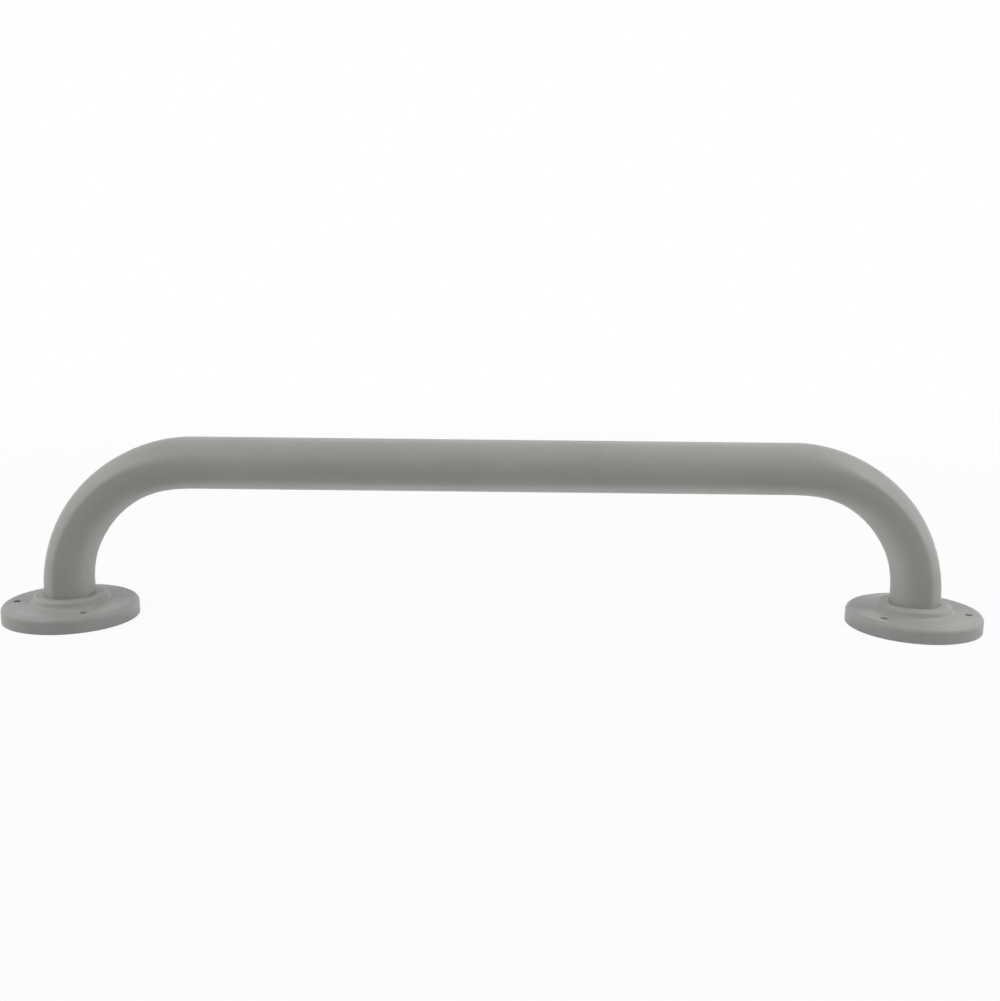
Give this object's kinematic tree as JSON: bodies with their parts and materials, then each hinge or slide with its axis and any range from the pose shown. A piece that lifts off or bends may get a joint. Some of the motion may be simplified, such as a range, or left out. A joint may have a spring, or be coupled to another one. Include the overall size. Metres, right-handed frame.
{
  "type": "grab bar",
  "caption": "Straight wall grab bar: one bent round tube with a pressed round screw flange welded to each leg, in a pale grey powder coat.",
  "frame": {"origin": "on the wall face, midway between the two flanges", "axes": "+X along the hand bar, +Y across it, +Z from the wall out to the bar"},
  "size_m": [0.61, 0.082, 0.114],
  "materials": {
    "powder_coat_tube": "semi-gloss powder coat",
    "powder_coat_flange": "semi-gloss powder coat",
    "coated_weld": "powder coat over a weld bead"
  },
  "bodies": {
    "root": {"grab_tube": "powder_coat_tube", "left_flange": "powder_coat_flange", "right_flange": "powder_coat_flange", "left_weld": "coated_weld", "right_weld": "coated_weld"}
  },
  "joints": []
}
